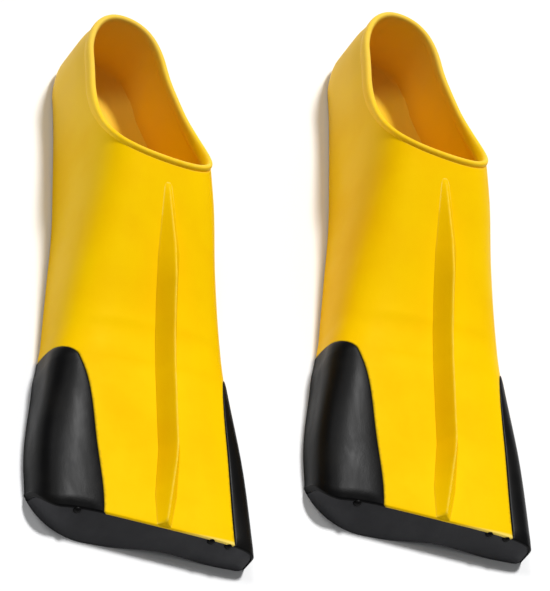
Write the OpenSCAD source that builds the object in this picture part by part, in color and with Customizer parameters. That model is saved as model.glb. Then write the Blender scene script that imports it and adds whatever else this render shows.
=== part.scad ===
/* [Fin size] */
// Length of one fin from the tip line to the back of the heel
fin_len = 397; // [380:1:420]
// Half width of the tip on the wide side
tip_wide = 88; // [80:1:96]
// Half width of the tip on the narrow side
tip_narrow = 75; // [70:1:84]
// Thickness of the blade at its tip
tip_thick = 26; // [20:1:28]
// Half width at the ball of the foot
ball_half = 51; // [46:1:56]
// Half width at the ankle on the wide side
ankle_wide = 34; // [31:1:38]
// Half width at the ankle on the narrow side
ankle_narrow = 48; // [40:1:50]
// Half width of the heel
heel_half = 29; // [26:1:32]

/* [Heights] */
// Height of the top over the toes
toe_height = 50; // [44:1:56]
// Height of the top over the ball of the foot
ball_height = 68; // [60:1:74]
// Height of the top over the instep
instep_height = 86; // [78:1:92]
// Height of the opening's edge around the heel
collar_height = 57; // [52:1:64]
// Height the lip would reach at its foremost point
lip_height = 96; // [92:1:104]

/* [Foot pocket] */
// Thickness of the pocket wall
wall = 3.6; // [3:0.1:5]
// Thickness of the sole
sole_thick = 6; // [4:0.5:8]
// Thickness of the pocket's own floor, on the sole
pocket_floor = 2; // [1.5:0.5:3]
// Height of the upright edge at the foot of the wall
edge_height = 3; // [2:0.5:4]
// Tip line to the front end of the hollow
toe_end = 142; // [134:1:150]
// Tip line to the foremost point of the lip
lip_y = 256; // [246:1:262]
// How far the opening is turned about the vertical, in degrees
opening_turn = -12; // [-14:1:0]
// Radius of the bead around the opening
bead_radius = 3; // [2.5:0.1:3.5]

/* [Blade] */
// Length of the web that bends, along the fin
web_len = 24; // [20:1:28]
// Tip line to the middle of the web
flex_y = 106; // [100:1:112]
// Thickness of the yellow skin over the blade
skin = 3.5; // [2.5:0.5:5]
// Height of the shallow arch along the blade's underside
under_arch = 4; // [0:0.5:6]
// Height of the centre rib above the skin
rib_height = 13; // [8:1:16]
// How far the rib's crest lies off the fin's centre line
rib_offset = 10; // [0:1:12]
// Half width of the black rail at the tip on the wide side, as seen from above
rail_wide = 47; // [40:1:54]
// Half width of the black rail at the tip on the narrow side
rail_narrow = 19; // [14:1:24]
// Tip line to the front end of the rails, under the toes
rail_end = 138; // [130:1:144]
// How far the lower edge of the end face stands out past the tip line
tip_low = 4; // [0:1:8]
// How far the end face leans back over its height, on the fin's centre line
tip_lean = 7; // [2:1:12]
// Radius of the end face's lower corner on the wide side
tip_round = 42; // [20:1:50]

/* [Pair] */
// Sideways distance between the two fins
pair_x = 214; // [195:1:240]
// Lengthwise distance between the two fins
pair_y = 49; // [0:1:60]

/* [Hidden] */

yellow = "gold";
black = "dimgray";

web_back = flex_y + web_len/2;
web_front = flex_y - web_len/2;
heel_round = 34;
// The top of the end face leans back more towards the wide side
tip_slant = 0.075;
// The lower corner's radius on the narrow side, and how much a corner tightens towards its top
narrow_round = 9;
corner_fade = 0.67;
// The web stays this far above the floor
web_lift = 1;

// Stations along the fin: distance from the tip, half width on the wide side,
// half width on the narrow side, height of the top, squareness of the section
stations = [
    [-60, tip_wide + 6, tip_narrow + 3, tip_thick - 9, 5],
    [0, tip_wide, tip_narrow, tip_thick, 4.6],
    [60, tip_wide - 3.5, tip_narrow - 5, tip_thick + 7, 4.4],
    [120, tip_wide - 18, tip_narrow - 12, toe_height - 7, 4.2],
    [150, tip_wide - 27, tip_narrow - 15, toe_height + 1, 4],
    [200, ball_half, ball_half + 6, ball_height, 3.8],
    [250, ball_half - 10, ball_half + 4, instep_height, 3.8],
    [300, ankle_wide, ankle_narrow, instep_height + 15, 3.6],
    [355, heel_half - 2, heel_half + 4, instep_height + 24, 3],
    [420, heel_half - 5, heel_half - 4, instep_height + 28, 3]
];

function spline(a, b, c, d, t) =
    b + 0.5*t*(c - a + t*(2*a - 5*b + 4*c - d + t*(3*(b - c) + d - a)));
function span(y, i = 1) =
    (i >= len(stations) - 3 || y < stations[i + 1][0]) ? i : span(y, i + 1);
function at(y, k) =
    let (i = span(y), t = (y - stations[i][0])/(stations[i + 1][0] - stations[i][0]))
    spline(stations[i - 1][k], stations[i][k], stations[i + 1][k], stations[i + 2][k], t);
function rounded(d, r) = d >= r ? 1 : d <= 0 ? 0 : sqrt(1 - pow(1 - d/r, 2));

// Half width, height and squareness of a section, t inside the outer surface
function half(y, side, t = 0) =
    (at(y, side < 0 ? 1 : 2) - t)*max(rounded(fin_len - t - y, heel_round - t), 0.04);
function high(y, t = 0) = at(y, 3) - t;
function square_of(y) = at(y, 4);

// Height of the outer surface over a point in plan
function top_at(x, y, t = 0) =
    let (n = square_of(y), u = min(abs(x)/half(y, x, t), 1))
    edge_height + (high(y, t) - edge_height)*pow(max(1 - pow(u, n), 0), 1/n);
// A point of the section at angle a, from 0 on the narrow side to 180 on the wide side
function rim_x(y, a, t = 0) =
    sign(cos(a))*half(y, cos(a), t)*pow(abs(cos(a)), 2/square_of(y));
function rim_z(y, a, t = 0) =
    edge_height + (high(y, t) - edge_height)*pow(sin(a), 2/square_of(y));

// Near the tip the sections are bent to the leaning end face and its rounded corners
function tip_line(x, z) =
    let (
        inset = max(x < 0 ? x + half(0, -1) : half(0, 1) - x, 0),
        up = min(max(z/tip_thick, 0), 1),
        r = (x < 0 ? tip_round : narrow_round)*(1 - corner_fade*up)
    )
    (tip_lean - tip_slant*x)*z/tip_thick - tip_low + r*(1 - rounded(inset, r));
function bent(p) =
    let (k = max(1 - p[1]/70, 0))
    [p[0], p[1] + k*k*tip_line(p[0], p[2]), p[2]];

// A closed solid between two grids of points with the same rows and columns
module slab(top, bottom) {
    m = len(top);
    n = len(top[0]);
    function id(g, j, i) = (g*m + j)*n + i;
    points = [for (g = [top, bottom]) for (row = g) for (p = row) p];
    faces = concat(
        [for (j = [0:m - 2]) for (i = [0:n - 2])
            [id(0, j, i), id(0, j + 1, i), id(0, j + 1, i + 1), id(0, j, i + 1)]],
        [for (j = [0:m - 2]) for (i = [0:n - 2])
            [id(1, j, i), id(1, j, i + 1), id(1, j + 1, i + 1), id(1, j + 1, i)]],
        [for (j = [0:m - 2]) [id(0, j, 0), id(1, j, 0), id(1, j + 1, 0), id(0, j + 1, 0)]],
        [for (j = [0:m - 2])
            [id(0, j, n - 1), id(0, j + 1, n - 1), id(1, j + 1, n - 1), id(1, j, n - 1)]],
        [for (i = [0:n - 2]) [id(0, 0, i), id(0, 0, i + 1), id(1, 0, i + 1), id(1, 0, i)]],
        [for (i = [0:n - 2])
            [id(0, m - 1, i), id(1, m - 1, i), id(1, m - 1, i + 1), id(0, m - 1, i + 1)]]
    );
    polyhedron(points, faces, convexity = 6);
}

function steps(from, to, count) = [for (k = [0:count]) from + (to - from)*k/count];

// Lines in plan between the black rails and the yellow top
function spread(y) = pow(max(1 - pow(min(y/rail_end, 1), 2), 0), 0.8);
function wide_line(y) = -half(y, -1) + 1.5 + (rail_wide - 1.5)*spread(y);
function narrow_line(y) = half(y, 1) - 1.5 - (rail_narrow - 1.5)*spread(y);

// A black rail on one side, between two distances from the tip
module rail(ys, side) {
    function line(y) = side < 0 ? wide_line(y) : narrow_line(y);
    function last(y) = acos(pow(abs(line(y))/half(y, side), square_of(y)/2));
    function angle(y, u) = side < 0 ? 180 - u*last(y) : (1 - u)*last(y);
    us = steps(0, 1, 10);
    slab(
        [for (y = ys) [for (u = us) bent([rim_x(y, angle(y, u)), y, rim_z(y, angle(y, u))])]],
        [for (y = ys) [for (u = us) bent([rim_x(y, angle(y, u)), y, 0])]]
    );
}

// The blade between its rails: a point of it at a share u of its width, d under the top
module between_rails(ys, top_depth, bottom) {
    function across(y, u) = wide_line(y) + (narrow_line(y) - wide_line(y))*u;
    function under_top(y, u, d) = [across(y, u), y, top_at(across(y, u), y) - d];
    us = steps(0, 1, 14);
    slab(
        [for (y = ys) [for (u = us) bent(under_top(y, u, top_depth))]],
        [for (y = ys) [for (u = us) bent(bottom == "arched" ?
            [across(y, u), y, under_arch*sin(180*u)] : under_top(y, u, skin))]]
    );
}

blade_ys = steps(0, web_front, 12);
web_ys = steps(web_front, web_back, 4);
root_ys = steps(web_back, rail_end, 5);

// The centre rib: crest line, and height above the skin along the fin
function crest_x(y) = rib_offset*min(1, 0.25 + y/80) - max(y - 200, 0)*0.08;
function crest_rise(y) =
    rib_height*min(1, 0.35 + y/70)*min(1, max(lip_y - 12 - y, 0)/70 + 0.04);
module rib(ys) {
    us = steps(-1, 1, 8);
    function rib_x(y, u) = crest_x(y) + u*(u < 0 ? 9 : 7)*min(1, 0.3 + crest_rise(y)/rib_height);
    function lift(y, u) = crest_rise(y)*pow(cos(90*u), 1.4);
    slab(
        [for (y = ys) [for (u = us) let (x = rib_x(y, u))
            bent([x, y, top_at(x, y) + lift(y, u) + 0.3])]],
        [for (y = ys) [for (u = us) let (x = rib_x(y, u)) bent([x, y, top_at(x, y) + 0.05])]]
    );
}

// The opening's edge in side view, and where it meets the wall around the opening
function collar(y) =
    let (u = max(1 - (y - lip_y)/78, 0))
    collar_height + (lip_height - collar_height)*pow(u, 1.7) + max(y - 360, 0)*0.05;
centre = [3, 322];
function unturned(x, y) =
    (y - centre[1])*cos(opening_turn) - (x - centre[0])*sin(opening_turn) + centre[1];
function outside(x, y, z) =
    y >= fin_len - wall/2 ? 1 :
    pow(abs(x)/half(y, x, wall/2), square_of(y))
    + pow((z - edge_height)/(high(y, wall/2) - edge_height), square_of(y)) - 1;
function reach(a, lo = 5, hi = 110, k = 0) =
    let (r = (lo + hi)/2, x = centre[0] + r*cos(a), y = centre[1] + r*sin(a))
    k > 22 ? r :
    outside(x, y, collar(unturned(x, y))) > 0 ? reach(a, lo, r, k + 1) : reach(a, r, hi, k + 1);

module bead_tube() {
    around = 56;
    ring = 10;
    points = [for (k = [0:around - 1]) let (a = 360*k/around, r = reach(a))
        for (q = [0:ring - 1]) let (b = 360*q/ring, rr = r + bead_radius*cos(b))
            [centre[0] + rr*cos(a), centre[1] + rr*sin(a),
             collar(unturned(centre[0] + r*cos(a), centre[1] + r*sin(a))) + bead_radius*sin(b)]];
    faces = [for (k = [0:around - 1]) for (q = [0:ring - 1])
        let (k2 = (k + 1)%around, q2 = (q + 1)%ring)
        [k*ring + q, k*ring + q2, k2*ring + q2, k2*ring + q]];
    polyhedron(points, faces, convexity = 6);
}

// The wall stops just under the bead
function wall_top(y) =
    collar(y) - (bead_radius + 0.1)*sqrt(1 + pow(collar(y + 0.5) - collar(y - 0.5), 2));
module opening_cutter() {
    low = lip_y - 12;
    edge = [for (y = steps(low, 420, 22)) [y, wall_top(y)]];
    outline = concat(edge, [[420, 150], [low - 30, 150], [low - 30, wall_top(low) + 20]]);
    translate([centre[0], centre[1], 0])
        rotate([0, 0, opening_turn])
            translate([-100, -centre[1], 0])
                rotate([90, 0, 90])
                    linear_extrude(height = 200)
                        polygon(outline);
}

pocket_ys = concat(steps(web_back, 356, 18), [for (a = steps(10, 90, 9)) 356 + (fin_len - 356)*sin(a)]);
hollow_ys = concat([for (a = steps(0, 80, 5)) toe_end + 22 - 22*cos(a)],
    steps(toe_end + 30, 350, 14),
    [for (a = steps(10, 90, 8)) 350 + (fin_len - wall - 350)*sin(a)]);
arch = steps(180, 0, 26);

module pocket_solid() {
    slab(
        [for (y = pocket_ys) [for (a = arch) [rim_x(y, a), y, max(rim_z(y, a), sole_thick + 0.2)]]],
        [for (y = pocket_ys) [for (a = arch) [rim_x(y, a), y, sole_thick]]]
    );
}
module pocket_hollow() {
    floor_z = sole_thick + pocket_floor;
    function squeeze(y) = max(rounded(y - toe_end, 34), 0.3);
    slab(
        [for (y = hollow_ys) [for (a = arch)
            [rim_x(y, a, wall)*squeeze(y), y,
             floor_z + max((rim_z(y, a, wall) - floor_z)*squeeze(y), 1)]]],
        [for (y = hollow_ys) [for (a = arch) [rim_x(y, a, wall)*squeeze(y), y, floor_z]]]
    );
}

// Clears the side of the pocket and of the sole for the end of a rail
module rail_space(side) {
    edge = [for (y = root_ys) [side < 0 ? wide_line(y) : narrow_line(y), y]];
    translate([0, 0, -1])
        linear_extrude(height = 100)
            polygon(concat([[side*100, web_back - 1], [edge[0][0], web_back - 1]], edge,
                [[side*100, rail_end]]));
}

module foot_pocket() color(yellow)
    difference() {
        pocket_solid();
        pocket_hollow();
        opening_cutter();
        rail_space(-1);
        rail_space(1);
    }

module sole() color(black)
    difference() {
        linear_extrude(height = sole_thick)
            polygon(concat(
                [for (y = pocket_ys) [half(y, 1), y]],
                [for (k = [len(pocket_ys) - 1:-1:0]) [-half(pocket_ys[k], -1), pocket_ys[k]]]
            ));
        rail_space(-1);
        rail_space(1);
    }

module collar_bead() color(yellow) bead_tube();

module instep_rib() color(yellow) rib(steps(web_back, lip_y - 12, 14));
module blade_rib() color(yellow) rib(blade_ys);

module blade_core() color(black) between_rails(blade_ys, skin, "arched");
module blade_skin() color(yellow) between_rails(blade_ys, 0, "even");
module outer_rail() color(black) rail(blade_ys, -1);
module inner_rail() color(black) rail(blade_ys, 1);
module flex_web() color(yellow)
    slab(
        [for (y = web_ys) [for (a = arch) [rim_x(y, a), y, rim_z(y, a)]]],
        [for (y = web_ys) [for (a = arch) [rim_x(y, a), y, web_lift]]]
    );
module outer_rail_root() color(black) rail(root_ys, -1);
module inner_rail_root() color(black) rail(root_ys, 1);

// Both fins lie flat, with the middle of the pair's outline at the origin
pair_mid = [(tip_narrow + pair_x - tip_wide)/2, (fin_len + pair_y - tip_low)/2];
module left() translate([-pair_mid[0], -pair_mid[1], 0]) children();
module right() translate([pair_x - pair_mid[0], pair_y - pair_mid[1], 0]) children();

left() foot_pocket();  // left_foot_pocket
left() sole();  // left_sole
left() collar_bead();  // left_collar_bead
left() instep_rib();  // left_instep_rib
left() outer_rail_root();  // left_outer_rail_root
left() inner_rail_root();  // left_inner_rail_root
left() flex_web();  // left_flex_web
left() blade_core();  // left_blade_core
left() blade_skin();  // left_blade_skin
left() blade_rib();  // left_blade_rib
left() outer_rail();  // left_outer_rail
left() inner_rail();  // left_inner_rail
right() foot_pocket();  // right_foot_pocket
right() sole();  // right_sole
right() collar_bead();  // right_collar_bead
right() instep_rib();  // right_instep_rib
right() outer_rail_root();  // right_outer_rail_root
right() inner_rail_root();  // right_inner_rail_root
right() flex_web();  // right_flex_web
right() blade_core();  // right_blade_core
right() blade_skin();  // right_blade_skin
right() blade_rib();  // right_blade_rib
right() outer_rail();  // right_outer_rail
right() inner_rail();  // right_inner_rail
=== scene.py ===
import math

import bmesh
import bpy
import numpy as np
from mathutils import Matrix, Vector


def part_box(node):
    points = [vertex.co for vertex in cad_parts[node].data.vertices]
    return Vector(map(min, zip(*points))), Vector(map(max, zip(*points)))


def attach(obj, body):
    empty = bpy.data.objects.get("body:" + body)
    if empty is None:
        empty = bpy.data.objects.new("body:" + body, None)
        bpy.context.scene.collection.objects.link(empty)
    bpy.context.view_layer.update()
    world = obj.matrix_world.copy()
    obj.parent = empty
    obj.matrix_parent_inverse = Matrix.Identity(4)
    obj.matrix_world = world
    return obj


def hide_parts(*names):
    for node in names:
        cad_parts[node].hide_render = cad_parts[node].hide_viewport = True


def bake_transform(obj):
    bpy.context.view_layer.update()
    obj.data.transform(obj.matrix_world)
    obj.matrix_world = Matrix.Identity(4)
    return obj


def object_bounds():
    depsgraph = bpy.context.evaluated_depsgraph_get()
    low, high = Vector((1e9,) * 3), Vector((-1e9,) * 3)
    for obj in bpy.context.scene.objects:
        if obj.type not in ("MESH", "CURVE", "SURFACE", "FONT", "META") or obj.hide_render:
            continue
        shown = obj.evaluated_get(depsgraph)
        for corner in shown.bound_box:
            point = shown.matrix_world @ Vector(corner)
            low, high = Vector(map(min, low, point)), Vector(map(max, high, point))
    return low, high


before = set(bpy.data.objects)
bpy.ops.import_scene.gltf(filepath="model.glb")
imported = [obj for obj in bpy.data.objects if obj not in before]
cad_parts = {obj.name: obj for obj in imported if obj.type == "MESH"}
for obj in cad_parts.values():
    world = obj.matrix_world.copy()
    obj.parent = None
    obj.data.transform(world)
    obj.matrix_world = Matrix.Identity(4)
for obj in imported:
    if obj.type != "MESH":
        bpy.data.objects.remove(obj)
cad_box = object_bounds()

# --- The upper -------------------------------------------------------------------------------
# One skin of soft yellow rubber, moulded over the black base: the top of the blade, the
# toe cap and the walls round the foot have no seam. It ends at the black rails on the blade
# and wraps over the edge of the sole round the foot. All lengths are in millimetres.
MM = 0.001
SIDES = ("left", "right")
fin_len = 397.0
tip_wide, tip_narrow, tip_thick = 88.0, 75.0, 26.0
# Radii of the tip's corners in plan: at the floor and at the top edge, on each side
corner_wide, corner_narrow = (42.0, 14.0), (9.0, 3.0)
# The tip's end face leans back from its lower edge, more so on the wide side
tip_low, tip_lean, tip_slant, tip_bend_len = -4.0, 7.0, 0.075, 70.0
# The sections are this much narrower at the tip, for the rails' crowned faces to stand out
rail_stand = 1.2
heel_round = 34.0
edge_height = 3.0
wall = 3.6
lip_y = 256.0
toe_end = 142.0
# The line between yellow and black: the rails' widths at the tip, where they end and how
# long their noses are, how fast they narrow, and the least width left
rail_wide, rail_narrow, rail_end, rail_nose = 45.0, 19.0, 138.0, 17.0
rail_spread = 0.72
rail_margin = 1.5
# Steps along a section's curve: enough that no facet shows
section_steps = 700

# Distance from the tip, half width on the wide side, half width on the narrow side,
# height of the top, and squareness of the section
stations = np.array([
    [-60, tip_wide + 6 - rail_stand, tip_narrow + 3 - rail_stand, tip_thick - 9, 5],
    [0, tip_wide - rail_stand, tip_narrow - rail_stand, tip_thick, 4.6],
    [60, tip_wide - 5, tip_narrow - 4, tip_thick + 7, 4.4],
    [120, tip_wide - 18, tip_narrow - 12, 43, 4.2],
    [150, tip_wide - 27, tip_narrow - 15, 51, 4],
    [200, 51, 57, 68, 3.8],
    [250, 41, 55, 86, 3.8],
    [300, 34, 48, 101, 3.6],
    [355, 27, 33, 110, 3],
    [420, 24, 25, 114, 3],
])


def along(y, column):
    """A station value at a distance from the tip, on a smooth curve through the stations."""
    y = np.asarray(y, float)
    i = np.clip(np.searchsorted(stations[:, 0], y, side="right") - 1, 1, len(stations) - 3)
    t = (y - stations[i, 0]) / (stations[i + 1, 0] - stations[i, 0])
    a, b, c, d = (stations[i + k, column] for k in (-1, 0, 1, 2))
    return b + 0.5 * t * (c - a + t * (2 * a - 5 * b + 4 * c - d + t * (3 * (b - c) + d - a)))


def rounded(distance, radius):
    """0 at an edge, rising along a quarter circle to 1 at radius from it."""
    d = np.clip(np.asarray(distance, float) / radius, 0, 1)
    return np.sqrt(np.maximum(1 - (1 - d) ** 2, 0))


def smooth(value, start, end):
    t = np.clip((np.asarray(value, float) - start) / (end - start), 0, 1)
    return t * t * (3 - 2 * t)


def half_width(y, side, depth=0.0):
    """From the fin's line to its side: side is below 0 on the wide side."""
    reach = np.where(np.asarray(side) < 0, along(y, 1), along(y, 2)) - depth
    return reach * np.maximum(rounded(fin_len - depth - y, heel_round - depth), 0.012)


def top_height(y, depth=0.0):
    return along(y, 3) - depth


def top_at(x, y):
    """Height of the outer surface over a point in plan."""
    n = along(y, 4)
    u = np.minimum(np.abs(x) / half_width(y, x), 1)
    return edge_height + (top_height(y) - edge_height) * np.maximum(1 - u ** n, 0) ** (1 / n)


def arch(y, angle, depth=0.0):
    """Points of the section at y: angle 0 is the narrow side's edge and pi the wide side's."""
    n = along(y, 4)
    c, s = np.cos(angle), np.sin(angle)
    x = np.sign(c) * half_width(y, c, depth) * np.abs(c) ** (2 / n)
    z = edge_height + (top_height(y, depth) - edge_height) * np.maximum(s, 0) ** (2 / n)
    return np.stack([x, z], -1)


def bend_tip(points):
    """Bends the sections near the tip to its leaning end face and rounded corners."""
    x, y, z = points[..., 0], points[..., 1], points[..., 2]
    inset = np.where(x < 0, x + tip_wide, tip_narrow - x)
    up = np.clip(z / tip_thick, 0, 1)
    radius = np.where(x < 0, corner_wide[0] + (corner_wide[1] - corner_wide[0]) * up,
                      corner_narrow[0] + (corner_narrow[1] - corner_narrow[0]) * up)
    corner = radius * (1 - rounded(np.maximum(inset, 0), radius))
    line = tip_low + (tip_lean - tip_slant * x) * z / tip_thick + corner
    k = np.clip(1 - y / tip_bend_len, 0, None)
    return np.stack([x, y + np.minimum(k, 1) ** 2 * line, z], -1)


# The heel's outer back corner swells out between the sole and the opening
swell_from, swell_way, swell_out = np.array([3.0, 350.0]), np.array([-0.81, 0.59]), 3.4
swell_run = 35


def swell_heel(points):
    """Moves the heel's outer back corner out: little at the sole, half as much by the opening."""
    out = smooth((points[..., :2] - swell_from) @ swell_way, 0, swell_run)
    high = smooth(points[..., 2], -4, 12) * (1 - 0.5 * smooth(points[..., 2], 40, 58))
    moved = points.copy()
    moved[..., :2] += (swell_out * out * high)[..., None] * swell_way
    return moved


def rail_full(y, side):
    """Length round the section from the floor up to the line between black rail and yellow,
    before the rail's round nose."""
    half = float(half_width(y, side))
    margin = rail_wide if side < 0 else rail_narrow
    spread = max(1 - min(max(y, 0) / rail_end, 1) ** 2, 0) ** rail_spread
    line = half - rail_margin - (margin - rail_margin) * spread
    angle = math.acos(min(max(line / half, 0), 1) ** (float(along(y, 4)) / 2))
    edge = arch(y, np.linspace(0, angle, 60) if side > 0 else np.pi - np.linspace(0, angle, 60))
    return line_length(edge) + edge_height


def rail_reach(y, side):
    """The same length, cut down along the nose."""
    nose = min(max((y - rail_end + rail_nose) / rail_nose, 0), 1)
    return upper_foot + (rail_full(y, side) - upper_foot) * math.sqrt(1 - nose ** 2)


def rail_gap(y, up_side, side):
    """Distance over the surface from a rail's edge, for points up_side from the floor."""
    full, past = rail_full(y, side), y - rail_end + rail_nose
    if past <= 0:
        return up_side - full
    radius = np.hypot(past / rail_nose, up_side / full)
    return (1 - 1 / radius) * np.hypot(past, up_side)


def section_line(y, depth):
    """The whole section from the floor on the narrow side, over the top, to the wide side."""
    line = arch(y, np.linspace(0, np.pi, section_steps), depth)
    return np.concatenate([[[line[0, 0], 0.0]], line, [[line[-1, 0], 0.0]]])


def resample(line, at):
    """Points of a polyline at the given distances along it."""
    steps = np.linalg.norm(np.diff(line, axis=0), axis=1)
    run = np.concatenate([[0], np.cumsum(steps)])
    return np.stack([np.interp(at, run, line[:, k]) for k in range(line.shape[1])], -1)


def line_length(line):
    return np.linalg.norm(np.diff(line, axis=0), axis=1).sum()


def row_points(y, lines):
    """Section lines (x, z) as points at one distance from the tip."""
    return [np.column_stack([line[:, 0], np.full(len(line), y), line[:, 1]]) for line in lines]


def pushed_in(line, depth):
    """Moves each point of a section line inwards, towards the middle of the rubber."""
    tangent = np.gradient(line, axis=0)
    tangent /= np.maximum(np.linalg.norm(tangent, axis=1, keepdims=True), 1e-9)
    inward = np.stack([-tangent[:, 1], tangent[:, 0]], -1)
    return line + inward * np.asarray(depth)[:, None]


def grid_faces(rows, columns, first=0, flip=False):
    i = np.arange(rows * columns).reshape(rows, columns) + first
    quads = np.stack([i[:-1, :-1], i[:-1, 1:], i[1:, 1:], i[1:, :-1]], -1).reshape(-1, 4)
    return (quads[:, ::-1] if flip else quads).tolist()


def slab(top, bottom, pinched=False):
    """A closed solid between two grids of points that have the same rows and columns.
    Where the last row is pinched flat, its two sides are joined to each other."""
    m, n = top.shape[:2]
    points = np.concatenate([top.reshape(-1, 3), bottom.reshape(-1, 3)])
    faces = grid_faces(m, n) + grid_faces(m, n, m * n, flip=True)
    t = np.arange(m * n).reshape(m, n)
    b = t + m * n
    walls = [(t[:, 0], b[:, 0]), (t[::-1, -1], b[::-1, -1]), (t[0, ::-1], b[0, ::-1])]
    if pinched:
        for row in (t[-1], b[-1]):
            half = n // 2
            faces += [[row[j], row[j + 1], row[n - 2 - j], row[n - 1 - j]] for j in range(half - 1)]
            faces.append([row[half - 1], row[half], row[half + 1]])
        faces.append([t[-1, 0], b[-1, 0], b[-1, -1], t[-1, -1]])
    else:
        walls.append((t[-1], b[-1]))
    for high, low in walls:
        faces += np.stack([high[:-1], high[1:], low[1:], low[:-1]], -1).tolist()
    return points, faces


def solid_mesh(parts, soil=None):
    """A bmesh, in millimetres, from one or more (points, faces) parts. The first points may
    have values from 0 to 1 that say how soiled the rubber is there."""
    bm = bmesh.new()
    layer = bm.verts.layers.float.new("soil")
    soil = iter([] if soil is None else soil)
    for points, faces in parts:
        verts = [bm.verts.new(p) for p in points]
        for vert, value in zip(verts, soil):
            vert[layer] = value
        for face in faces:
            bm.faces.new([verts[i] for i in face])
    bmesh.ops.remove_doubles(bm, verts=bm.verts, dist=1e-4)
    return bm


# Where each fin lies: its tip line and its centre line, from the frame
origin = {}
for side in SIDES:
    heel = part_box(f"{side}_sole")[1].y / MM
    outer_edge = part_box(f"{side}_outer_rail")[0].x / MM
    origin[side] = np.array([outer_edge + tip_wide, heel - fin_len, 0.0])


# In metres: where each fin sits in the rubber's clouds, so that the two fins' marks differ
cloud_place = {"left": np.array([0.0, 0.0, 0.0]), "right": np.array([0.7, 0.3, 0.0])}


def make_piece(name, bm, side, material, sharp=40.0):
    """An object from a bmesh in a fin's own millimetres, with the place of each point kept."""
    bmesh.ops.recalc_face_normals(bm, faces=bm.faces)
    mesh = bpy.data.meshes.new(name)
    bm.to_mesh(mesh)
    local = np.zeros(len(mesh.vertices) * 3, np.float32)
    mesh.vertices.foreach_get("co", local)
    local = local.reshape(-1, 3).astype(float)
    mesh.vertices.foreach_set("co", ((local + origin[side]) * MM).astype(np.float32).ravel())
    place = (local * MM + cloud_place[side]).astype(np.float32)
    place_kept = mesh.attributes.new("place", "FLOAT_VECTOR", "POINT")
    place_kept.data.foreach_set("vector", place.ravel())
    along_kept = mesh.attributes.new("along", "FLOAT", "POINT")
    along_kept.data.foreach_set("value", local[:, 1].astype(np.float32))
    mesh.polygons.foreach_set("use_smooth", np.ones(len(mesh.polygons), bool))
    mesh.set_sharp_from_angle(angle=math.radians(sharp))
    mesh.materials.append(material)
    mesh.update()
    piece = bpy.data.objects.new(name, mesh)
    bpy.context.scene.collection.objects.link(piece)
    return piece


# Distances from the tip of the rows of points
tip_edge_round = 0.8
skin_thin, skin_thick, skin_run = 1.5, 3.5, 20
edge_turn = np.radians(np.linspace(0, 90, 6))
tip_rows = tip_edge_round * (1 - np.cos(edge_turn))
nose_turn = np.radians(np.linspace(87, 0, 30))
nose_rows = rail_end - rail_nose * (1 - np.cos(nose_turn))
open_rows = np.arange(3, 120, 3.0)
blade_rows = np.concatenate([tip_rows, open_rows, nose_rows, np.arange(139, 146, 1.0)])
heel_start = 356
heel_rows = heel_start + (fin_len - heel_start) * np.sin(np.radians(np.linspace(6, 90, 17)))
pocket_rows = np.concatenate([np.arange(147, 355, 2.5), heel_rows])
upper_rows = np.concatenate([blade_rows, pocket_rows])
# Height of the upper's lower edge, width of the yellow wrapped round the sole's edge, and
# height of the seat that the sole fills
upper_foot = 1.2
foot_ring = 2.0
seat_z = 6.1
# The upper's edges beside the rails are rounded over, with close rows of points there
seam_round = 0.8
seam_steps = np.array([0, 0.12, 0.4, 0.8])
across = 91
soil_width = 6.0


def skin_depth(y):
    """Thickness of the yellow skin and the rails: thinner at the tip's edge."""
    return skin_thin + (skin_thick - skin_thin) * min(y / skin_run, 1)


def edge_depth(y):
    """How far the outer surface has dropped towards the rounded edge at the tip."""
    return tip_edge_round * (1 - rounded(y, tip_edge_round))


def seam_drop(distance):
    return seam_round * (1 - rounded(distance, seam_round))


def upper_row(y):
    """Outer points, underside points and soiling of the upper at one distance from the tip."""
    outer = section_line(y, edge_depth(y))
    inner = section_line(y, skin_depth(y))
    run = line_length(outer)
    start, end = rail_reach(y, 1), run - rail_reach(y, -1)
    width = end - start
    at = np.concatenate([seam_steps, np.linspace(2, width - 2, across), width - seam_steps[::-1]])
    rim = np.minimum(at, width - at)
    beside_rail = float(1 - smooth(y, rail_end - 1, rail_end + 4))
    inner = resample(inner, (start + at) / run * line_length(inner))
    outer = pushed_in(resample(outer, start + at), seam_drop(rim) * beside_rail)
    half_n, half_w = half_width(y, 1), half_width(y, -1)
    ring = min(foot_ring, 0.5 * half_n)
    seat = np.array([[half_n - ring, upper_foot], [half_n - ring, seat_z],
                     [-half_w + ring, seat_z], [-half_w + ring, upper_foot]])
    seat = resample(seat, at / width * line_length(seat))
    mix = float(smooth(y, 112, rail_end - 2))
    under = inner * (1 - mix) + seat * mix
    gap = np.minimum(rail_gap(y, start + at, 1), rail_gap(y, run - start - at, -1))
    soil = np.clip(1 - gap / soil_width, 0, 1)
    return row_points(y, (outer, under)) + [soil]


# The opening: its edge in side view, turned a little about the vertical, and how far the
# middle of the lip bows towards the tip
collar_height, lip_height, collar_run = 57.0, 96.0, 78.0
collar_power = 1.7
back_start, back_slope = 360, 0.05
opening_turn = math.radians(-12)
opening_centre = np.array([3.0, 322.0])
lip_bow, lip_half = 3.4, 42.0


def unturned(x, y):
    """Distance from the tip in the opening's own turned and bowed side view."""
    dx, dy = x - opening_centre[0], y - opening_centre[1]
    bow = lip_bow * np.maximum(1 - (dx / lip_half) ** 2, 0)
    return dy * math.cos(opening_turn) - dx * math.sin(opening_turn) + opening_centre[1] + bow


def collar(y):
    """Height of the opening's edge."""
    u = np.maximum(1 - (y - lip_y) / collar_run, 0)
    rise = (lip_height - collar_height) * u ** collar_power
    return collar_height + rise + np.maximum(y - back_start, 0) * back_slope


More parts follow.
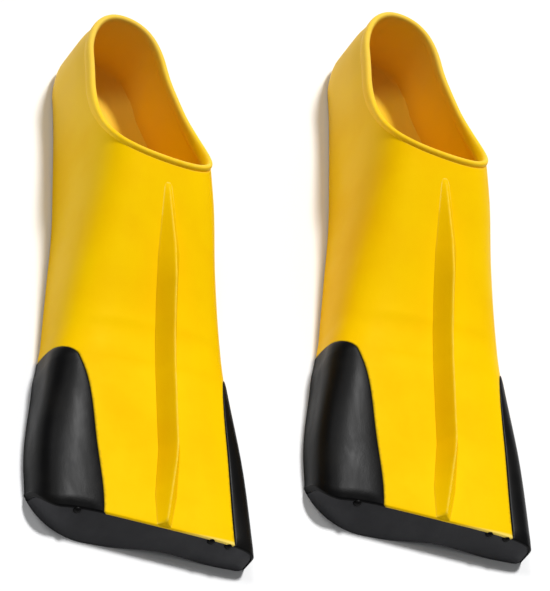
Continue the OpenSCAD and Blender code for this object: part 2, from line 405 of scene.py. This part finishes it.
# The hollow for the foot, closed round at the toes and the heel
floor_z = 8.1
floor_cup = 2.0
toe_run, toe_round, hollow_heel = 22, 34, 350
hollow_rows = np.concatenate([
    toe_end + toe_run - toe_run * np.cos(np.radians(np.linspace(0, 84, 12))),
    np.arange(toe_end + toe_run, hollow_heel, 3.5),
    hollow_heel + (fin_len - wall - hollow_heel) * np.sin(np.radians(np.linspace(5, 90, 15))),
])
hollow_arch, hollow_floor = 81, 25


def hollow_row(y):
    """Points round the hollow at one distance from the tip: its arch, then its cupped floor."""
    size = max(float(rounded(y - toe_end, toe_round)), 0.06)
    line = arch(y, np.linspace(0, np.pi, section_steps), wall)
    line = line[line[:, 1] > floor_z + floor_cup]
    line = resample(line, np.linspace(0, line_length(line), hollow_arch))
    s = np.linspace(-1, 1, hollow_floor + 2)[1:-1]
    middle, spread = (line[0, 0] + line[-1, 0]) / 2, (line[0, 0] - line[-1, 0]) / 2
    floor = np.stack([middle + spread * s, floor_z + floor_cup * np.abs(s) ** 5], -1)
    loop = np.concatenate([line, floor])
    x = loop[:, 0] * size
    z = floor_z + np.maximum(loop[:, 1] - floor_z, 0) * size
    return np.column_stack([x, np.full(len(x), y), z])


def loop_faces(rows, columns):
    """Faces between rows of points that are closed round."""
    i = np.arange(rows * columns).reshape(rows, columns)
    j = np.roll(i, -1, axis=1)
    return np.stack([i[:-1], j[:-1], j[1:], i[1:]], -1).reshape(-1, 4).tolist()


# The upper is cut off this far below the opening's edge, where the bead hides the cut
rim_z = 1.6


def open_loops(bm):
    """The open edges' vertices as ordered loops that run the same way round the opening."""
    loops, left = [], {e for e in bm.edges if e.is_boundary}
    while left:
        edge = left.pop()
        loop = [edge.verts[0], edge.verts[1]]
        while True:
            step = next((e for e in loop[-1].link_edges if e in left), None)
            if step is None:
                break
            left.discard(step)
            loop.append(step.other_vert(loop[-1]))
        loops.append(loop[:-1] if loop[0] is loop[-1] else loop)
    return loops


def turn_round(loop):
    """The loop started and ordered by its angle round the opening, with those angles."""
    middle_x, middle_y = opening_centre
    angle = np.unwrap([math.atan2(v.co.y - middle_y, v.co.x - middle_x) for v in loop])
    if angle[-1] < angle[0]:
        loop, angle = loop[::-1], angle[::-1]
    angle = np.mod(angle, 2 * np.pi)
    first = int(np.argmin(angle))
    return loop[first:] + loop[:first], np.concatenate([angle[first:], angle[:first]])


def join_loops(bm, one, other):
    """Faces between two loops round the opening, zipped up by angle."""
    (a, ta), (b, tb) = turn_round(one), turn_round(other)
    a, b = a + a[:1], b + b[:1]
    ta, tb = np.append(ta, ta[0] + 2 * np.pi), np.append(tb, tb[0] + 2 * np.pi)
    i = j = 0
    while i < len(a) - 1 or j < len(b) - 1:
        if j == len(b) - 1 or (i < len(a) - 1 and ta[i + 1] <= tb[j + 1]):
            bm.faces.new([a[i], a[i + 1], b[j]])
            i += 1
        else:
            bm.faces.new([a[i], b[j + 1], b[j]])
            j += 1


def upper_solid():
    """The upper and its hollow as one skin, cut along the opening's edge. The cut is made flat:
    every point is lowered by the edge's height there, and raised again after it."""
    lines = [upper_row(y) for y in upper_rows]
    outer, under = (swell_heel(bend_tip(np.array([row[k] for row in lines]))) for k in (0, 1))
    hollow = swell_heel(np.array([hollow_row(y) for y in hollow_rows]))
    m, n = hollow.shape[:2]
    faces = loop_faces(m, n) + [list(range(n)), list(range((m - 1) * n, m * n))]
    soil = np.concatenate([row[2] for row in lines])
    bm = solid_mesh([slab(outer, under, pinched=True), (hollow.reshape(-1, 3), faces)], soil)
    for v in bm.verts:
        v.co.z -= collar(unturned(v.co.x, v.co.y)) - rim_z
    bmesh.ops.bisect_plane(bm, geom=bm.verts[:] + bm.edges[:] + bm.faces[:], dist=1e-4,
                           plane_co=(0, 0, 0), plane_no=(0, 0, 1), clear_outer=True)
    rims = [loop for loop in open_loops(bm) if len(loop) > 20]
    join_loops(bm, *rims[:2])
    for v in bm.verts:
        v.co.z += collar(unturned(v.co.x, v.co.y)) - rim_z
    return bm


def new_material(name):
    material = bpy.data.materials.new(name)
    material.use_nodes = True
    nodes = material.node_tree.nodes
    nodes.clear()
    shader = nodes.new("ShaderNodeBsdfPrincipled")
    output = nodes.new("ShaderNodeOutputMaterial")
    material.node_tree.links.new(shader.outputs["BSDF"], output.inputs["Surface"])
    return material, shader


def feed(tree, socket, value):
    """Links another node's output to an input, or sets the input to a plain value."""
    if isinstance(value, bpy.types.NodeSocket):
        tree.links.new(value, socket)
    else:
        socket.default_value = value


def node(tree, kind, **inputs):
    """A node with its inputs fed by name, or by number as _0, _1 and so on."""
    made = tree.nodes.new(kind)
    for name, value in inputs.items():
        key = int(name[1:]) if name[0] == "_" else name.replace("_", " ")
        feed(tree, made.inputs[key], value)
    return made


def maths(tree, operation, *values, clamp=False):
    made = node(tree, "ShaderNodeMath", **{f"_{i}": v for i, v in enumerate(values)})
    made.operation = operation
    made.use_clamp = clamp
    return made.outputs[0]


def ramp(tree, value, start, end, low=0.0, high=1.0):
    made = node(tree, "ShaderNodeMapRange", _0=value, _1=start, _2=end, _3=low, _4=high)
    made.interpolation_type = "SMOOTHSTEP"
    return made.outputs[0]


def mixed(tree, factor, a, b):
    """Colour a turning to colour b as the factor goes from 0 to 1."""
    made = tree.nodes.new("ShaderNodeMix")
    made.data_type = "RGBA"
    for number, value in ((0, factor), (6, a), (7, b)):
        feed(tree, made.inputs[number], value)
    return made.outputs[2]


def attribute(tree, name):
    made = tree.nodes.new("ShaderNodeAttribute")
    made.attribute_name = name
    return made


def colour(r, g, b):
    return (r, g, b, 1.0)


def new_group(name, inputs, outputs):
    """A shader node group with named inputs (name, kind, value) and outputs (name, kind)."""
    tree = bpy.data.node_groups.new(name, "ShaderNodeTree")
    for label, kind, value in inputs:
        socket = tree.interface.new_socket(name=label, in_out="INPUT", socket_type=kind)
        if value is not None:
            socket.default_value = value
    for label, kind in outputs:
        tree.interface.new_socket(name=label, in_out="OUTPUT", socket_type=kind)
    return tree, tree.nodes.new("NodeGroupInput"), tree.nodes.new("NodeGroupOutput")


def place_group(tree, group, **inputs):
    made = tree.nodes.new("ShaderNodeGroup")
    made.node_tree = group
    for name, value in inputs.items():
        feed(tree, made.inputs[name.replace("_", " ")], value)
    return made.outputs


def noise(tree, place, scale, detail=2.0, roughness=0.5, distortion=0.0):
    return node(tree, "ShaderNodeTexNoise", Vector=place, Scale=scale, Detail=detail,
                Roughness=roughness, Distortion=distortion).outputs["Fac"]


# Moulded rubber, used by every piece: a cloudy tone from the mixing of the batch, and the
# fine, even grain that the blasted mould leaves
grain_group, grain_in, grain_out = new_group(
    "moulded_rubber",
    [("Place", "NodeSocketVector", None), ("Cloud Scale", "NodeSocketFloat", 22.0),
     ("Grain Scale", "NodeSocketFloat", 900.0)],
    [("Cloud", "NodeSocketFloat"), ("Streak", "NodeSocketFloat"), ("Height", "NodeSocketFloat")])
stretched = node(grain_group, "ShaderNodeVectorMath",
                 _0=grain_in.outputs["Place"], _1=(1.0, 0.22, 1.0))
stretched.operation = "MULTIPLY"
cloud = noise(grain_group, grain_in.outputs["Place"], grain_in.outputs["Cloud Scale"], 4.0, 0.55)
streak = noise(grain_group, stretched.outputs[0], 90.0, 3.0, 0.6, 0.4)
pebble = noise(grain_group, grain_in.outputs["Place"], grain_in.outputs["Grain Scale"], 2.0, 0.6)
peel = noise(grain_group, grain_in.outputs["Place"], 120.0, 1.0)
height = maths(grain_group, "ADD", maths(grain_group, "MULTIPLY", pebble, 0.35),
               maths(grain_group, "MULTIPLY", peel, 0.65))
for label, value in (("Cloud", cloud), ("Streak", streak), ("Height", height)):
    grain_group.links.new(value, grain_out.inputs[label])

# Rubbed and lit edge: a mask where the surface turns sharply, for edges rubbed paler and for
# painted highlight along the bead's top and the rib's crest
rubbed_and_lit_group, rubbed_and_lit_in, rubbed_and_lit_out = new_group(
    "rubbed_and_lit_edge",
    [("Place", "NodeSocketVector", None), ("Radius", "NodeSocketFloat", 0.0012)],
    [("Mask", "NodeSocketFloat")])
bevel = node(rubbed_and_lit_group, "ShaderNodeBevel", Radius=rubbed_and_lit_in.outputs["Radius"])
bevel.samples = 4
true_normal = rubbed_and_lit_group.nodes.new("ShaderNodeNewGeometry").outputs["Normal"]
turn = node(rubbed_and_lit_group, "ShaderNodeVectorMath", _0=bevel.outputs[0], _1=true_normal)
turn.operation = "DOT_PRODUCT"
sharpness = ramp(rubbed_and_lit_group, turn.outputs["Value"], 0.995, 0.90)
broken = ramp(rubbed_and_lit_group, noise(rubbed_and_lit_group, rubbed_and_lit_in.outputs["Place"], 260.0, 3.0),
              0.30, 0.62, 0.45, 1.0)
rubbed_and_lit_group.links.new(maths(rubbed_and_lit_group, "MULTIPLY", sharpness, broken), rubbed_and_lit_out.inputs["Mask"])

yellow_tone = colour(0.965, 0.595, 0.0005)
deep_yellow = colour(0.92, 0.515, 0.0004)
pale_yellow = colour(0.96, 0.74, 0.16)
# Paler, whiter yellow for the painted sheen on the walls towards the heel
heel_sheen_tone = colour(0.88, 0.60, 0.13)
stain_tone = colour(0.10, 0.12, 0.01)
yellow_sheen = colour(1.0, 0.72, 0.10)


def yellow_rubber(name, cut_edges=False, wear_and_highlight=0.35, wear_and_highlight_radius=0.0012):
    """Yellow rubber; cut_edges adds the soiling beside the rails and the bright tip edge."""
    material, shader = new_material(name)
    tree = material.node_tree
    place = attribute(tree, "place").outputs["Vector"]
    grain = place_group(tree, grain_group, Place=place)
    tone = mixed(tree, maths(tree, "MULTIPLY", ramp(tree, grain["Cloud"], 0.35, 0.75), 0.6),
                 yellow_tone, deep_yellow)
    tone = mixed(tree, maths(tree, "MULTIPLY", ramp(tree, grain["Streak"], 0.45, 0.8), 0.2),
                 tone, deep_yellow)
    from_tip = attribute(tree, "along").outputs["Fac"]
    # Painted sheen: towards the heel the walls turn paler and whiter in patches, as a soft
    # reflection would make them
    heel_sheen = maths(tree, "MULTIPLY", ramp(tree, from_tip, 285.0, 375.0, 0.0, 0.5),
                  ramp(tree, grain["Cloud"], 0.25, 0.6, 0.55, 1.0))
    tone = mixed(tree, heel_sheen, tone, heel_sheen_tone)
    # Sharp edges turn pale yellow: partly rubbed wear, partly painted highlight, strongest on the
    # bead and the rib's crest
    sharp_edge = place_group(tree, rubbed_and_lit_group, Place=place, Radius=wear_and_highlight_radius)["Mask"]
    tone = mixed(tree, maths(tree, "MULTIPLY", sharp_edge, wear_and_highlight), tone, pale_yellow)
    if cut_edges:
        soil = attribute(tree, "soil").outputs["Fac"]
        ragged = noise(tree, place, 300.0, 3.0, 0.6)
        shift = maths(tree, "MULTIPLY", maths(tree, "SUBTRACT", ragged, 0.5), 0.5)
        spread = maths(tree, "ADD", soil, shift)
        stain = maths(tree, "MULTIPLY", ramp(tree, spread, 0.62, 1.08), 0.5)
        tone = mixed(tree, stain, tone, stain_tone)
        edge = ramp(tree, from_tip, 2.2, 0.4)
        tone = mixed(tree, maths(tree, "MULTIPLY", edge, 0.8), tone, pale_yellow)
    tree.links.new(tone, shader.inputs["Base Color"])
    rough = ramp(tree, grain["Cloud"], 0.3, 0.7, 0.40, 0.52)
    tree.links.new(rough, shader.inputs["Roughness"])
    shader.inputs["Specular IOR Level"].default_value = 0.05
    shader.inputs["Specular Tint"].default_value = yellow_sheen
    bump = node(tree, "ShaderNodeBump", Height=grain["Height"], Strength=0.16, Distance=0.0006)
    tree.links.new(bump.outputs[0], shader.inputs["Normal"])
    return material


upper_yellow = yellow_rubber("upper_yellow", cut_edges=True)
upper_shape = upper_solid()
for side in SIDES:
    upper = make_piece(f"{side}_upper", upper_shape, side, upper_yellow)
    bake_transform(upper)
    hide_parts(f"{side}_foot_pocket", f"{side}_flex_web", f"{side}_blade_skin")

# --- The base --------------------------------------------------------------------------------
# Harder black rubber, moulded first: the flat sole under the foot and the body of the blade,
# whose dull end face shows at the tip under the yellow. Its underside has a shallow arch
# along the blade and grip grooves under the foot.
# A hair's gap under the yellow, and the end face set back under the yellow's edge
base_gap = 0.1
base_set_back = 1.0
under_arch, arch_middle, arch_half = 4.0, 10.0, 46.0
groove_depth, groove_pitch = 1.2, 9.0
groove_fields = ((168, 232), (318, 372))
base_rows = np.concatenate([base_set_back + tip_rows * 0.6, np.arange(4, 150, 3.0),
                            np.arange(150, heel_start, 1.5), heel_rows - foot_ring - base_gap])
base_across = 61


def groove(y):
    """Depth of the grip grooves at a distance from the tip."""
    depth = 0.0
    for start, end in groove_fields:
        inside = smooth(y, start, start + 3) * smooth(y, end, end - 3)
        wave = 0.5 - 0.5 * np.cos(2 * np.pi * (y - start) / groove_pitch)
        depth += groove_depth * inside * smooth(wave, 0.55, 0.85)
    return depth


def base_row(y):
    """Top points and underside points of the base at one distance from the tip."""
    depth = skin_depth(y) + base_gap
    half_n, half_w = half_width(y, 1), half_width(y, -1)
    inner = arch(y, np.linspace(0, np.pi, 500), depth + 0.6 * edge_depth(y - base_set_back))
    inner = np.concatenate([[[inner[0, 0], 0]], inner, [[inner[-1, 0], 0]]])
    ring = min(foot_ring + base_gap, 0.5 * half_n)
    seat = np.array([[half_n - ring, 0], [half_n - ring, seat_z - base_gap],
                     [-half_w + ring, seat_z - base_gap], [-half_w + ring, 0]])
    share = np.linspace(0, 1, base_across)
    mix = float(smooth(y, 108, rail_end - 6))
    top = (resample(inner, share * line_length(inner)) * (1 - mix)
           + resample(seat, share * line_length(seat)) * mix)
    x = np.linspace(top[0, 0], top[-1, 0], base_across)
    s = np.clip(np.abs(x / np.where(x > 0, top[0, 0], -top[-1, 0])), 0, 1)
    off = np.minimum(np.abs(x - arch_middle) / arch_half, 1)
    arched = under_arch * np.cos(off * np.pi / 2) ** 2 * float(1 - smooth(y, 60, 150))
    grooved = groove(y) * smooth(s, 0.9, 0.8)
    bottom = np.stack([x, arched + grooved], -1)
    return row_points(y, (top, bottom))


worn_black = colour(0.05, 0.05, 0.052)


def black_rubber(name, tone, dull, rough_low, rough_high, specular):
    """Black rubber: tone is its colour, dull the dusty grey that its clouds turn to."""
    material, shader = new_material(name)
    tree = material.node_tree
    place = attribute(tree, "place").outputs["Vector"]
    grain = place_group(tree, grain_group, Place=place, Cloud_Scale=30.0)
    shade = mixed(tree, ramp(tree, grain["Cloud"], 0.4, 0.75), tone, dull)
    sharp_edge = place_group(tree, rubbed_and_lit_group, Place=place)["Mask"]
    shade = mixed(tree, maths(tree, "MULTIPLY", sharp_edge, 0.3), shade, worn_black)
    tree.links.new(shade, shader.inputs["Base Color"])
    rough = ramp(tree, grain["Streak"], 0.3, 0.7, rough_low, rough_high)
    tree.links.new(rough, shader.inputs["Roughness"])
    shader.inputs["Specular IOR Level"].default_value = specular
    bump = node(tree, "ShaderNodeBump", Height=grain["Height"], Strength=0.25, Distance=0.0006)
    tree.links.new(bump.outputs[0], shader.inputs["Normal"])
    return material


base_black = black_rubber("base_black", colour(0.042, 0.042, 0.045), colour(0.054, 0.054, 0.058),
                          0.65, 0.80, 0.15)
base_lines = [base_row(y) for y in base_rows]
base_top, base_bottom = (swell_heel(bend_tip(np.array([row[k] for row in base_lines])))
                         for k in (0, 1))
base_shape = solid_mesh([slab(base_top, base_bottom)])
for side in SIDES:
    base = make_piece(f"{side}_base", base_shape, side, base_black)
    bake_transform(base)
    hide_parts(f"{side}_sole", f"{side}_blade_core")

# --- The side rails --------------------------------------------------------------------------
# Glossier black rubber along both sides of the blade, to stiffen it: broad on the wide side,
# narrow on the other. Each is moulded in beside the yellow skin, stands a little proud of it
# and runs out to a round nose under the toes.
# A rail's face is crowned this much, over this width from its edge beside the yellow
rail_bulge = 1.5
bulge_run = 20.0
rail_columns = 31
rail_rows = np.concatenate([tip_rows, open_rows, nose_rows[:-1]])


def rail_row(y, hand):
    """Outer and inner line of a rail, from its edge beside the yellow down to the floor."""
    reach = rail_reach(y, hand)
    at = np.concatenate([seam_steps, np.linspace(min(1.6, reach * 0.9), reach, rail_columns)])
    at = np.minimum(at, reach)
    lines = []
    outer = section_line(y, edge_depth(y))
    for depth in (edge_depth(y), skin_depth(y)):
        line = section_line(y, depth)
        if hand < 0:
            line = line[::-1]
        lines.append(resample(line, (reach - at) * line_length(line) / line_length(outer)))
    rise = rail_bulge * rounded(at, bulge_run) * smooth(reach, 4, 20) * smooth(y, 0, 6)
    fall = smooth(reach - at, 14, 30)
    drop = seam_drop(at) * smooth(reach, 2, 5) - rise * fall
    lines[0] = pushed_in(lines[0], drop * (1 if hand < 0 else -1))
    return row_points(y, lines)


rail_black = black_rubber("rail_black", colour(0.0018, 0.0018, 0.002),
                          colour(0.005, 0.0046, 0.0042), 0.36, 0.44, 0.09)
for hand, place_name in ((-1, "outer"), (1, "inner")):
    rail_lines = [rail_row(y, hand) for y in rail_rows]
    rail_top, rail_under = (bend_tip(np.array([row[k] for row in rail_lines])) for k in (0, 1))
    rail_shape = solid_mesh([slab(rail_top, rail_under)])
    for side in SIDES:
        rail = make_piece(f"{side}_{place_name}_side_rail", rail_shape, side, rail_black)
        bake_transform(rail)
        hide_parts(f"{side}_{place_name}_rail", f"{side}_{place_name}_rail_root")

# --- The end nibs ----------------------------------------------------------------------------
# Three small half-round nibs of the base's black rubber, left on its end face just under the
# yellow skin, where the mould let the air out. Moulded with the base and never trimmed.
nib_places = (-60.0, 38.0, 51.0)
nib_half, nib_drop = np.array([2.9, 2.2, 3.0]), 3.2
nib_shape = bmesh.new()
for x in nib_places:
    face = bend_tip(np.array([x, base_set_back, float(top_at(x, 0.0)) - nib_drop]))
    nib = bmesh.ops.create_uvsphere(nib_shape, u_segments=20, v_segments=12, radius=1.0)["verts"]
    for v in nib:
        v.co = Vector(np.array(v.co) * nib_half + face)
for side in SIDES:
    nibs = make_piece(f"{side}_end_nibs", nib_shape, side, rail_black)
    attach(nibs, f"{side}_blade")

# --- The centre rib --------------------------------------------------------------------------
# A stiffening ridge of the same yellow rubber, moulded with the upper, from the blade's tip
# to just under the lip. One flank is broad and hollow, the other steep, and the crest is soft.
rib_height, rib_offset = 13.0, 10.0
rib_wide, rib_steep = 9.0, 7.0
rib_sink = 1.2
rib_columns = np.linspace(-1, 1, 33)
rib_rows = np.concatenate([[0.4, 1.0, 2.0], np.arange(3.5, lip_y - 14, 2.5),
                           [lip_y - 12.5, lip_y - 11]])
# How softly the crest is rounded, as a share of the rib's half width
crest_soft = 0.10
# The crest's height at the tip and at the back end, as shares of the full height, and the
# length over which it gains the rest
crest_front, crest_back, crest_run = 0.35, 0.04, 70


def crest_rise(y):
    """Height of the crest over the yellow surface: low at the tip, and fading under the lip."""
    front = min(1, crest_front + y / crest_run)
    back = min(1, max(lip_y - 12 - y, 0) / crest_run + crest_back)
    return rib_height * front * back


def rib_row(y):
    """Top points and sunken foot points of the rib at one distance from the tip."""
    rise = crest_rise(y)
    crest = rib_offset * min(1, 0.25 + y / 80) - max(y - 200, 0) * 0.08
    spread = min(1, 0.3 + rise / rib_height)
    u = rib_columns
    x = crest + u * np.where(u < 0, rib_wide, rib_steep) * spread
    away = np.sqrt(u ** 2 + crest_soft ** 2) - crest_soft
    profile = np.clip(1 - away / (math.sqrt(1 + crest_soft ** 2) - crest_soft), 0, 1)
    lift = rise * profile ** 1.12
    surface = top_at(x, y)
    end = float(rounded(lip_y - 10.5 - y, 6)) * float(rounded(y + 0.2, 2.5))
    top = np.column_stack([x, np.full(len(x), y), surface + (lift + 0.25) * end - 0.25])
    under = np.column_stack([x, np.full(len(x), y), surface - rib_sink])
    return top, under


# The rib's crest is painted paler along its length: a painted highlight on the crest
rib_yellow = yellow_rubber("rib_yellow", wear_and_highlight=0.7, wear_and_highlight_radius=0.0018)
rib_lines = [rib_row(y) for y in rib_rows]
rib_top, rib_under = (bend_tip(np.array([row[k] for row in rib_lines])) for k in (0, 1))
rib_shape = solid_mesh([slab(rib_top, rib_under)])
for side in SIDES:
    rib = make_piece(f"{side}_centre_rib", rib_shape, side, rib_yellow, sharp=60.0)
    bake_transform(rib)
    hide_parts(f"{side}_instep_rib", f"{side}_blade_rib")

# --- The collar bead -------------------------------------------------------------------------
# A thick rounded band of the same yellow rubber round the opening, which keeps the thin wall
# from tearing when the foot is pushed in. It stands out from the wall and is moulded with it.
# Half its thickness and half its height, and how far it is shifted out and down
bead_half, bead_rise, bead_shift, bead_sink = 2.4, 4.5, 0.6, 1.0
bead_around, bead_ring = 200, 28


def bead_path():
    """Where the middle of the pocket's wall meets the opening's edge, all the way round."""
    angle = np.linspace(0, 2 * np.pi, 721)[:-1]
    # Each spoke's length lies between low and high, and every turn of the loop halves that span
    low, high = np.full(len(angle), 5.0), np.full(len(angle), 110.0)
    for _ in range(26):
        reach = (low + high) / 2
        x = opening_centre[0] + reach * np.cos(angle)
        y = opening_centre[1] + reach * np.sin(angle)
        z = collar(unturned(x, y))
        n = along(np.minimum(y, fin_len), 4)
        inside_y = np.minimum(y, fin_len - wall / 2 - 1e-3)
        full = (np.abs(x) / half_width(inside_y, x, wall / 2)) ** n
        full += np.maximum((z - edge_height) / (top_height(y, wall / 2) - edge_height), 0) ** n
        outside = (full > 1) | (y >= fin_len - wall / 2)
        high = np.where(outside, reach, high)
        low = np.where(outside, low, reach)
    path = np.stack([x, y, z], -1)
    closed = np.concatenate([path, path[:1]])
    return resample(closed, np.linspace(0, line_length(closed), bead_around + 1)[:-1])


def bead_solid():
    """The bead's section swept round the opening, square to its edge all the way."""
    path = bead_path()
    for _ in range(3):
        path = (np.roll(path, 1, 0) + 2 * path + np.roll(path, -1, 0)) / 4
    tangent = np.roll(path, -1, 0) - np.roll(path, 1, 0)
    tangent /= np.linalg.norm(tangent, axis=1, keepdims=True)
    out = path - np.array([*opening_centre, 0]) * np.array([1, 1, 0])
    out[:, 2] = 0
    out -= (out * tangent).sum(1, keepdims=True) * tangent
    out /= np.linalg.norm(out, axis=1, keepdims=True)
    up = np.cross(out, tangent)
    up *= np.sign(up[:, 2:3])
    angle = np.linspace(0, 2 * np.pi, bead_ring + 1)[:-1]
    turn_out, turn_up = np.cos(angle), np.sin(angle)
    turn_out = bead_shift + bead_half * np.sign(turn_out) * np.abs(turn_out) ** 0.8
    turn_up = bead_rise * np.sign(turn_up) * np.abs(turn_up) ** 0.85 - bead_sink
    ring = path[:, None] + turn_out[:, None] * out[:, None] + turn_up[:, None] * up[:, None]
    closed = swell_heel(np.concatenate([ring, ring[:1]]))
    return solid_mesh([(closed.reshape(-1, 3), loop_faces(bead_around + 1, bead_ring))])


bead_shape = bead_solid()
# The bead is painted paler over its rounded faces with a wide edge mask: a painted highlight on its
# top
bead_yellow = yellow_rubber("bead_yellow", wear_and_highlight=0.55, wear_and_highlight_radius=0.0045)
for side in SIDES:
    bead = make_piece(f"{side}_bead", bead_shape, side, bead_yellow)
    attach(bead, f"{side}_foot")
    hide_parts(f"{side}_collar_bead")

# --- Floor, light and camera -----------------------------------------------------------------
# A plain white floor under soft daylight from all round, with a high lamp a little to the
# right and behind and a weaker one on the wide side, and a long lens looking down at the tips.
floor_half = 12.0
floor_mesh = bpy.data.meshes.new("floor")
floor_shape = bmesh.new()
bmesh.ops.create_grid(floor_shape, x_segments=8, y_segments=8, size=floor_half)
floor_shape.to_mesh(floor_mesh)
floor = bpy.data.objects.new("floor", floor_mesh)
bpy.context.scene.collection.objects.link(floor)
floor_white, floor_shader = new_material("floor_white")
floor_tree = floor_white.node_tree
floor_place = floor_tree.nodes.new("ShaderNodeTexCoord").outputs["Object"]
floor_cloud = ramp(floor_tree, noise(floor_tree, floor_place, 3.0), 0.3, 0.7)
floor_tone = mixed(floor_tree, floor_cloud, colour(0.90, 0.90, 0.905), colour(0.93, 0.93, 0.93))
floor_tree.links.new(floor_tone, floor_shader.inputs["Base Color"])
floor_shader.inputs["Roughness"].default_value = 0.9
floor_shader.inputs["Specular IOR Level"].default_value = 0.0
floor_mesh.materials.append(floor_white)

world = bpy.data.worlds.new("daylight")
world.use_nodes = True
sky = world.node_tree.nodes["Background"]
sky.inputs["Color"].default_value = (0.97, 0.985, 1.0, 1)
sky.inputs["Strength"].default_value = 0.20
bpy.context.scene.world = world

# Name, strength, width in degrees, and the way to it
for lamp_name, strength, lamp_width, way in (("high_lamp", 2.86, 8, (0.21, 0.42, 1.0)),
                                             ("side_lamp", 0.50, 16, (-0.36, 0.36, 0.84))):
    lamp = bpy.data.lights.new(lamp_name, "SUN")
    lamp.energy = strength
    lamp.angle = math.radians(lamp_width)
    lamp_object = bpy.data.objects.new(lamp_name, lamp)
    lamp_object.rotation_euler = Vector(way).to_track_quat("Z", "Y").to_euler()
    bpy.context.scene.collection.objects.link(lamp_object)

view_azimuth, view_elevation, view_roll = (math.radians(a) for a in (36, 45, 38))
view_height = 0.396
lens, sensor = 1200.0, 36.0
sight = Vector((-math.sin(view_azimuth) * math.cos(view_elevation),
                -math.cos(view_azimuth) * math.cos(view_elevation), math.sin(view_elevation)))
level = Vector((math.cos(view_azimuth), -math.sin(view_azimuth), 0))
upward = sight.cross(level)
right = level * math.cos(view_roll) + upward * math.sin(view_roll)
up = upward * math.cos(view_roll) - level * math.sin(view_roll)
tip_mark = Vector((origin["left"] + np.array([0, 0, tip_thick + 1])) * MM)
# In metres: from the left fin's tip to the middle of the view
view_across, view_up = 0.0743, 0.1544
target = tip_mark + right * view_across + up * view_up
middle = (cad_box[0] + cad_box[1]) / 2
target += sight * (middle - target).dot(sight)

camera_data = bpy.data.cameras.new("camera")
camera_data.lens = lens
camera_data.sensor_width = sensor
camera_data.clip_end = 100
camera = bpy.data.objects.new("camera", camera_data)
turned = Matrix((right, up, sight)).transposed().to_4x4()
camera.matrix_world = Matrix.Translation(target + sight * view_height * lens / sensor) @ turned
bpy.context.scene.collection.objects.link(camera)
bpy.context.scene.camera = camera
bpy.context.scene.view_settings.view_transform = "Standard"
